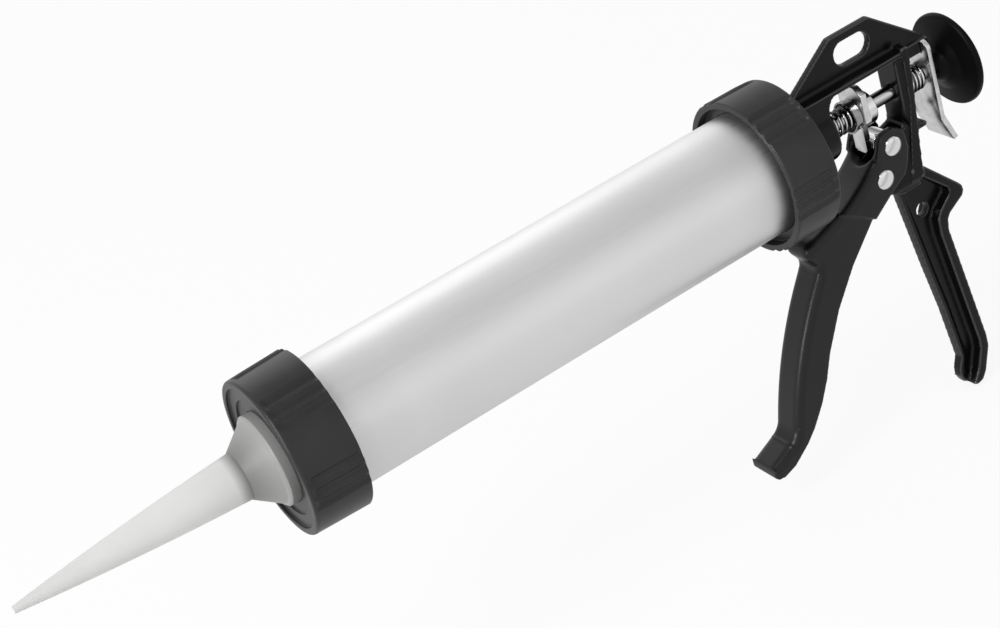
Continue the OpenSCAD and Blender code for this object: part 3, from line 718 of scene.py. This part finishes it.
# %% [markdown]
# A tree runs as a modifier on a base object. Its inputs are set by their sockets'
# identifiers before the object is first evaluated, and the result is read back as
# a plain mesh, so that no modifier is left on the piece.

# %% Growing a piece from a tree


def grown(name, base, tree, values):
    """Runs a tree on a base object and keeps the result as a plain mesh."""
    modifier = base.modifiers.new(tree.name, "NODES")
    modifier.node_group = tree
    for item in tree.interface.items_tree:
        if item.item_type == "SOCKET" and item.in_out == "INPUT" and item.name in values:
            modifier[item.identifier] = values[item.name]
    mesh = bpy.data.meshes.new_from_object(
        base.evaluated_get(bpy.context.evaluated_depsgraph_get()))
    base.modifiers.remove(modifier)
    bpy.data.objects.remove(base)
    mesh.name = name
    print(name, "grown:", len(mesh.polygons), "faces")
    return new_piece(name, mesh)


# %% Front cap


def spaced(x0, x1, r0, r1, step):
    """Points along a straight skin, from station x0 to station x1."""
    count = max(2, round(abs(x1 - x0) / step))
    return [(r0 + (r1 - r0) * k / count, x0 + (x1 - x0) * k / count, 0)
            for k in range(1, count)]


FLUTE = {"Panels": 6.0, "Flutes": 3.0, "Pitch": math.radians(9), "Turn": math.radians(35.5),
         "Bar radius": 3 * MM, "Bar lift": 2 * MM}
CAP_FACE, CAP_RING = 4, 3.0
SEAT_HOLE_R, DISH_R, DISH_DEPTH = 18.5, 23.4, 1.2
front_x, front_end = FRONT_CAP_X, FRONT_CAP_X + FRONT_CAP_LEN
face_r, rim_r, cap_bore = 31.6, 32.4, BARREL_R + THREAD_GAP
front_outline = rounded(
    [(SEAT_HOLE_R, front_x + 2), (DISH_R, front_x + 2), (DISH_R, front_x + DISH_DEPTH),
     (face_r - CAP_RING, front_x + DISH_DEPTH), (face_r - CAP_RING, front_x, 0.6),
     (face_r, front_x, 2.2)]
    + spaced(front_x + 2.6, front_x + 6.2, face_r + 0.11, face_r + 0.26, 0.4)
    + spaced(front_x + 6.2, front_end - 1.4, face_r + 0.26, rim_r - 0.06, 3)
    + [(rim_r, front_end, 0.8), (cap_bore, front_end, 0.3), (cap_bore, front_x + CAP_FACE),
       (SEAT_HOLE_R, front_x + CAP_FACE)], 0.35)
front_base = turned("front_cap_base", front_outline, 720)
front_cap = grown("front_cap_body", front_base, press_flutes, {
    **FLUTE, "First station": (front_x + 3.8) * MM, "Last station": (front_end + 1) * MM,
    "First radius": face_r * MM, "Last radius": rim_r * MM, "Material": cap_finish})
stands_for(front_cap, "front_cap", "front_cap", cap_finish)

# %% Rear cap
REAR_RECESS, REAR_HOLE_R, REAR_LIP = 4, 21.5, 3.5
rear_x, rear_end = REAR_CAP_X, FRAME_X
rear_rim, rear_back = 32.7, 32.2
rear_outline = rounded(
    [(cap_bore, rear_x + REAR_RECESS), (rear_rim - CAP_RING, rear_x + REAR_RECESS),
     (rear_rim - CAP_RING, rear_x, 0.4), (rear_rim, rear_x, 0.8)]
    + spaced(rear_x + 1.4, rear_end - 6, rear_rim - 0.08, rear_back + 0.33, 3)
    + spaced(rear_end - 6, rear_end - 2.4, rear_back + 0.33, rear_back + 0.12, 0.4)
    + [(rear_back, rear_end, 1.9), (REAR_HOLE_R, rear_end),
       (REAR_HOLE_R, rear_end - REAR_LIP), (cap_bore, rear_end - REAR_LIP)], 0.35)
rear_base = turned("rear_cap_base", rear_outline, 720)
rear_cap = grown("rear_cap_body", rear_base, press_flutes, {
    **FLUTE, "First station": (rear_x - 1) * MM, "Last station": (rear_end - 3.4) * MM,
    "First radius": rear_rim * MM, "Last radius": rear_back * MM, "Material": cap_finish})
stands_for(rear_cap, "rear_cap", "rear_cap", cap_finish)

# %% [markdown]
# ## Nozzle
# A long cone of natural plastic with a slightly swollen side, a step where it
# meets the flared base, and a flange that the front cap clamps. The tube is open
# from end to end, so its inside is turned too.

# %% Nozzle
TIP_D, CONE_D, CONE_BELLY = 2.8, 18.8, 0.38
FLARE_X1 = FRONT_CAP_X - 2.4
FLARE_X0 = FLARE_X1 - 9.4
FLARE_R, SEAT_R, NOZZLE_WALL = 16.9, 18.4, 1.2
OUTLET_R, OUTLET_LEN, STEP = 0.8, 6, 0.35
FLANGE_X, FLANGE_R, FLANGE_BORE = FRONT_CAP_X + 4.3, BARREL_R - 0.3, 15.7


def cone_at(s):
    """Outside radius of the cone, from 0 at the outlet to 1 at the flared base."""
    return (TIP_D + (CONE_D - TIP_D) * s * (1 + CONE_BELLY * (1 - s))) / 2


sides = 32
outside = [(cone_at(i / sides), FLARE_X0 * i / sides, 0) for i in range(1, sides)]
start = OUTLET_LEN / FLARE_X0
inside = []
for i in range(sides, 0, -1):
    s = start + (1 - start) * i / sides
    inside.append((cone_at(s) - NOZZLE_WALL, FLARE_X0 * s, 0))
nozzle = turned("nozzle_cone", rounded(
    [(OUTLET_R, 0), (TIP_D / 2, 0)] + outside
    + [(CONE_D / 2, FLARE_X0, 0.3), (CONE_D / 2 + STEP, FLARE_X0, 0.25),
       (FLARE_R, FLARE_X1, 0.8), (SEAT_R - 0.8, FLARE_X1 + 0.2, 0.3),
       (SEAT_R, FLARE_X1 + 1, 0.5), (SEAT_R, FLANGE_X, 0), (FLANGE_R, FLANGE_X),
       (FLANGE_R, FLANGE_X + 3), (FLANGE_BORE, FLANGE_X + 3), (FLANGE_BORE, FLARE_X1, 0)]
    + inside + [(OUTLET_R, OUTLET_LEN, 0)], 0.25), 128)
stands_for(nozzle, "nozzle", "nozzle", nozzle_finish)

# %% [markdown]
# ## Push rod, knob and the turned steel pieces
# The rod is drawn steel with chamfered ends. The knob is moulded over its rear
# end. The collar, the spring's seat and the roller run on or beside it.

# %% Rod and knob
low, high = box_mm("push_rod")
rod = turned("rod_bar", rounded(
    [(0, low[0], 0), (ROD_R, low[0]), (ROD_R, high[0]), (0, high[0], 0)], 0.5), 64)
stands_for(rod, "push_rod", "rod", rod_finish)

knob_x, knob_r, knob_depth = FRAME_X + 75.9, 20.1, 8.0
rim_x = knob_x + knob_depth
knob = turned("knob_disc", rounded(
    [(ROD_R + RUN_GAP, knob_x), (5.2, knob_x, 0.4), (6, knob_x + 1, 0.5),
     (7.5, knob_x + 3.2, 2), (12.06, knob_x + 5.76, 4), (19.5, rim_x - 0.32, 0.8),
     (knob_r, rim_x + 0.6, 0.5), (knob_r, rim_x + 2, 0.6), (18.5, rim_x + 3.2, 1.2),
     (10.05, rim_x + 5.2, 4), (0, rim_x + 6, 0), (0, rim_x, 0), (ROD_R + RUN_GAP, rim_x, 0)],
    0.3), 128)
stands_for(knob, "pull_knob", "rod", knob_finish)

# %% Collar, spring seat and roller
PLATE_BACK = FRAME_X + 37.4
PLATE_FRONT = PLATE_BACK - 3
COLLAR_R, COLLAR_LEN = 7.2, 4
collar_x = PLATE_BACK + 0.1
collar = turned("collar_sleeve", rounded(
    [(ROD_R + RUN_GAP, collar_x), (COLLAR_R, collar_x), (COLLAR_R, collar_x + COLLAR_LEN),
     (ROD_R + RUN_GAP, collar_x + COLLAR_LEN)], 0.5), 96)
stands_for(collar, "drive_collar", "drive", chrome_finish)

seat_x, seat_r = PLATE_FRONT - 0.1, 7.2
seat = turned("spring_seat_cup", rounded(
    [(ROD_R + RUN_GAP, seat_x), (seat_r - 0.6, seat_x, 0.6), (seat_r, seat_x - 4, 0.2),
     (seat_r - 0.8, seat_x - 4, 0.2), (seat_r - 1.4, seat_x - 0.8, 0.4),
     (ROD_R + RUN_GAP, seat_x - 0.8)], 0.2), 96)
stands_for(seat, "spring_seat", "drive", seat_finish)


def across_frame(piece, station, height):
    """Turns a piece from the barrel's axis to an axis across the frame, at a point in mm."""
    turn = Matrix.Rotation(math.radians(90), 4, "Z")
    piece.data.transform(Matrix.Translation((station * MM, 0, height * MM)) @ turn)
    return piece


PIVOT = (FRAME_X + 35.8, -28.6)
PUSH_PIN = (FRAME_X + 42.7, -16.5)
roller = across_frame(turned("roller_sleeve", rounded(
    [(2.55, -3.9), (5, -3.9), (5, 3.9), (2.55, 3.9)], 0.4), 64), *PUSH_PIN)
stands_for(roller, "drive_roller", "roller", chrome_finish)

# %% [markdown]
# ## Rivets
# Two rivets cross the trigger's cheeks. Each head is a low dome with a soft foot,
# so the outline is one quarter arc at each end of the shank.

# %% Rivets
CHEEK_OUT, HEAD_R, HEAD_H, SHANK_R = 10.0, 4.2, 1.3, 2.5


def rivet(name, at):
    """A rivet across the cheeks, with a domed head at each end."""
    dome = [(HEAD_R * math.cos(a), CHEEK_OUT + HEAD_H * math.sin(a), 0)
            for a in [math.pi / 2 * k / 8 for k in range(9)]]
    back = [(r, -x, 0) for r, x, _ in reversed(dome)]
    return across_frame(turned(name, rounded(
        back + [(SHANK_R, -CHEEK_OUT, 0), (SHANK_R, CHEEK_OUT, 0)] + dome, 0), 64, 60), *at)


for name, node, at in (("pivot_rivet_heads", "pivot_rivet", PIVOT),
                       ("push_rivet_heads", "push_rivet", PUSH_PIN)):
    stands_for(rivet(name, at), node, "trigger", rivet_finish)

# %% [markdown]
# ## Springs
# A spring is a wire that follows a spiral, which is one curve and one profile in
# Geometry Nodes. Both springs are squeezed by a joint. Each is wound evenly over
# the length of its solid.

# %% Springs
SPRING_INPUTS = [
    ("Coil radius", "NodeSocketFloat"), ("Wire radius", "NodeSocketFloat"),
    ("Turns", "NodeSocketFloat"), ("Length", "NodeSocketFloat"),
    ("Station", "NodeSocketFloat"), ("Material", "NodeSocketMaterial")]


def spring_tree():
    """A round wire wound about the X axis from a station."""
    tree, take = new_tree("wound_spring", SPRING_INPUTS)
    spiral = tree.nodes.new("GeometryNodeCurveSpiral")
    spiral.inputs["Resolution"].default_value = 40
    tree.links.new(take["Turns"], spiral.inputs["Rotations"])
    tree.links.new(take["Coil radius"], spiral.inputs["Start Radius"])
    tree.links.new(take["Coil radius"], spiral.inputs["End Radius"])
    tree.links.new(take["Length"], spiral.inputs["Height"])
    wire = tree.nodes.new("GeometryNodeCurvePrimitiveCircle")
    wire.inputs["Resolution"].default_value = 12
    tree.links.new(take["Wire radius"], wire.inputs["Radius"])
    sweep = tree.nodes.new("GeometryNodeCurveToMesh")
    sweep.inputs["Fill Caps"].default_value = True
    tree.links.new(spiral.outputs["Curve"], sweep.inputs["Curve"])
    tree.links.new(wire.outputs["Curve"], sweep.inputs["Profile Curve"])
    place = tree.nodes.new("GeometryNodeTransform")
    place.inputs["Rotation"].default_value = (0.0, math.pi / 2, 0.0)
    spot = tree.nodes.new("ShaderNodeCombineXYZ")
    tree.links.new(take["Station"], spot.inputs[0])
    tree.links.new(spot.outputs[0], place.inputs["Translation"])
    tree.links.new(sweep.outputs["Mesh"], place.inputs["Geometry"])
    even = tree.nodes.new("GeometryNodeSetShadeSmooth")
    tree.links.new(place.outputs[0], even.inputs["Geometry"])
    hand_out(tree, even.outputs[0], take["Material"])
    return tree


wound = spring_tree()
print("spring tree nodes:", len(wound.nodes))

# %% Wind both springs
SPRING_R, WIRE_R = 4.85, 0.65
# Piece, solid, turns, the joint that squeezes it, and by how many mm
SPRINGS = (("drive_spring_coil", "drive_spring", 5.5, "drive_plate_slide", 7.0),
           ("release_spring_coil", "release_spring", 4.0, "release_press", 1.6))
for name, node, turns, joint, travel in SPRINGS:
    low, high = box_mm(node)
    length = high[0] - low[0]
    base = new_piece(name + "_base", bpy.data.meshes.new(name + "_base"))
    coil = grown(name, base, wound, {
        "Coil radius": SPRING_R * MM, "Wire radius": WIRE_R * MM, "Turns": turns,
        "Length": (length - 2 * WIRE_R) * MM, "Station": (low[0] + WIRE_R) * MM,
        "Material": wire_finish})
    stands_for(coil, node, "frame", wire_finish)
    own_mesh(coil)

# %% [markdown]
# ## Frame and trigger
# The frame is one die casting: flange, boss, housing, hanging fin and fixed
# handle. The trigger is a deep channel pressed from sheet. Both keep the solids'
# shapes and come out round along every edge, which is what catches the light. The
# trigger gets the finer voxels and more rounds, because its edges are wider.

# %% Frame and trigger
casting = softened("frame_casting", "casting_body", 0.55, 7)
stands_for(casting, "frame_casting", "frame", casting_finish)
lever = softened("trigger", "trigger_channel", 0.42, 12)
stands_for(lever, "trigger", "trigger", trigger_finish)

# %% [markdown]
# ## Plates
# The drive plate bites the rod when the trigger pushes it, and the release plate
# holds the rod until its tab is pressed. Both are stamped and zinc plated, so their
# faces stay flat and only their edges are broken.

# %% Drive plate and release plate
for node, name, body in (("drive_plate", "drive_plate_blank", "drive"),
                         ("release_plate", "release_plate_blank", "release")):
    stands_for(dressed(node, name, 0.3, 3), node, body, zinc_finish)

# %% [markdown]
# ## Piston
# The piston, its washers and its nuts sit inside the closed barrel. The solids'
# own shapes are right, so they only take their finishes.

# %% Piston finishes
INSIDE = {"piston_cup": piston_finish, "piston_front_washer": zinc_finish,
          "piston_rear_washer": zinc_finish, "piston_nut": zinc_finish,
          "piston_lock_nut": zinc_finish}
for node, material in INSIDE.items():
    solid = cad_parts[node]
    solid.data.materials.clear()
    solid.data.materials.append(material)
print("dressed inside:", sorted(INSIDE))

# %% [markdown]
# ## Floor and backdrop
# The floor is pale paper that keeps a faint shadow. The camera, and clear pieces,
# should see it almost white without more light on the tool. So it is mostly a
# plain glow for those rays and mostly paper for all others. Mirrored rays see the
# glow too, a little darker, which keeps the metal from burning out.

# %% Mix of two shaders


def mixed(tree, factor, first, second):
    """A mix of two shaders, the second one where the factor is 1."""
    mix = tree.nodes.new("ShaderNodeMixShader")
    tree.links.new(factor, mix.inputs[0])
    tree.links.new(first, mix.inputs[1])
    tree.links.new(second, mix.inputs[2])
    return mix.outputs[0]


# %% Floor
FLOOR_GAP, FLOOR_REACH = 0.002, 4.0
PAPER, GLOW_SHARE, MIRRORED_GLOW = 0.9, 0.88, 0.74

floor_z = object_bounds()[0][2] - FLOOR_GAP
corners = [(x * FLOOR_REACH, y * FLOOR_REACH, floor_z)
           for x, y in ((-1, -1), (1, -1), (1, 1), (-1, 1))]
floor_mesh = bpy.data.meshes.new("studio_floor")
floor_mesh.from_pydata(corners, [], [(0, 1, 2, 3)])
floor = new_piece("studio_floor", floor_mesh)
floor_finish = bpy.data.materials.new("studio_floor")
floor_finish.use_nodes = True
tree = floor_finish.node_tree
tree.nodes.clear()
calc = Maker(tree)
path = tree.nodes.new("ShaderNodeLightPath").outputs
paper = tree.nodes.new("ShaderNodeBsdfDiffuse")
paper.inputs["Color"].default_value = grey(PAPER)
glow = tree.nodes.new("ShaderNodeEmission")
dim = tree.nodes.new("ShaderNodeMapRange")
dim.inputs["To Min"].default_value = 1.0
dim.inputs["To Max"].default_value = MIRRORED_GLOW
tree.links.new(path["Is Glossy Ray"], dim.inputs["Value"])
tree.links.new(dim.outputs["Result"], glow.inputs["Strength"])
seen = calc("MAXIMUM", calc("MAXIMUM", path["Is Camera Ray"], path["Is Glossy Ray"]),
            path["Is Transmission Ray"])

out = tree.nodes.new("ShaderNodeOutputMaterial")
tree.links.new(mixed(tree, calc("MULTIPLY", seen, GLOW_SHARE), paper.outputs[0],
                     glow.outputs[0]), out.inputs["Surface"])
floor_mesh.materials.append(floor_finish)
print("floor at", round(floor_z, 4))

# %% [markdown]
# The world has three parts. The camera and clear pieces see plain white. Mirrored
# rays see a room of soft greys, wrapped about the barrel's axis, which gives the
# long bands on the barrel; it stands still when the camera moves. All other rays
# get one even level of light.

# %% World
AMBIENT = 0.55
# From level at the front (-Y), over the top, to level at the back; below is held
ROOM = ((0.0, 0.86), (0.06, 0.90), (0.16, 0.82), (0.28, 0.58), (0.42, 0.54), (0.52, 0.66),
        (0.64, 0.72), (0.76, 0.78), (1.0, 0.84))

world = bpy.data.worlds.new("studio")
bpy.context.scene.world = world
world.use_nodes = True
tree = world.node_tree
tree.nodes.clear()
calc = Maker(tree)
path = tree.nodes.new("ShaderNodeLightPath").outputs
split = tree.nodes.new("ShaderNodeSeparateXYZ")
tree.links.new(tree.nodes.new("ShaderNodeTexCoord").outputs["Generated"], split.inputs[0])
turn = tree.nodes.new("ShaderNodeMapRange")
turn.inputs["From Min"].default_value = 0.0
turn.inputs["From Max"].default_value = math.pi
tree.links.new(calc("ARCTAN2", split.outputs[2], calc("MULTIPLY", split.outputs[1], -1.0)),
               turn.inputs["Value"])
plain, mirrored, shown = (tree.nodes.new("ShaderNodeBackground") for _ in range(3))
plain.inputs["Color"].default_value = grey(1)
plain.inputs["Strength"].default_value = AMBIENT
shown.inputs["Color"].default_value = grey(1)
tree.links.new(grey_ramp(tree, turn.outputs["Result"], ROOM), mirrored.inputs["Color"])
around = mixed(tree, path["Is Glossy Ray"], plain.outputs[0], mirrored.outputs[0])
seen = calc("MAXIMUM", path["Is Camera Ray"], path["Is Transmission Ray"])
out = tree.nodes.new("ShaderNodeOutputWorld")
tree.links.new(mixed(tree, seen, around, shown.outputs[0]), out.inputs["Surface"])
print("world nodes:", len(tree.nodes))

# %% [markdown]
# ## Lamps
# Three large soft lamps: the key stands high at the front left, a second one low on
# the left brightens the caps and the nozzle, and a weak one behind lifts the far
# edges. Their powers are low, so that a colour renders about as it is written.

# %% Lamps
CENTRE = Vector((0.24, 0, -0.02))
# Name, place and size in metres, power in watts
LAMPS = (("key_lamp", (-0.9, -0.5, 1.3), 0.6, 13),
         ("left_lamp", (-1.6, -0.25, 0.45), 0.5, 12),
         ("back_lamp", (0.5, 1.4, 0.9), 1.2, 3))
for name, at, size, power in LAMPS:
    data = bpy.data.lights.new(name, "AREA")
    data.size = size
    data.energy = power
    lamp = bpy.data.objects.new(name, data)
    lamp.location = at
    lamp.rotation_euler = (CENTRE - Vector(at)).to_track_quat("-Z", "Y").to_euler()
    bpy.context.scene.collection.objects.link(lamp)
bpy.context.scene.view_settings.view_transform = "Standard"
print("lamps:", len(LAMPS))
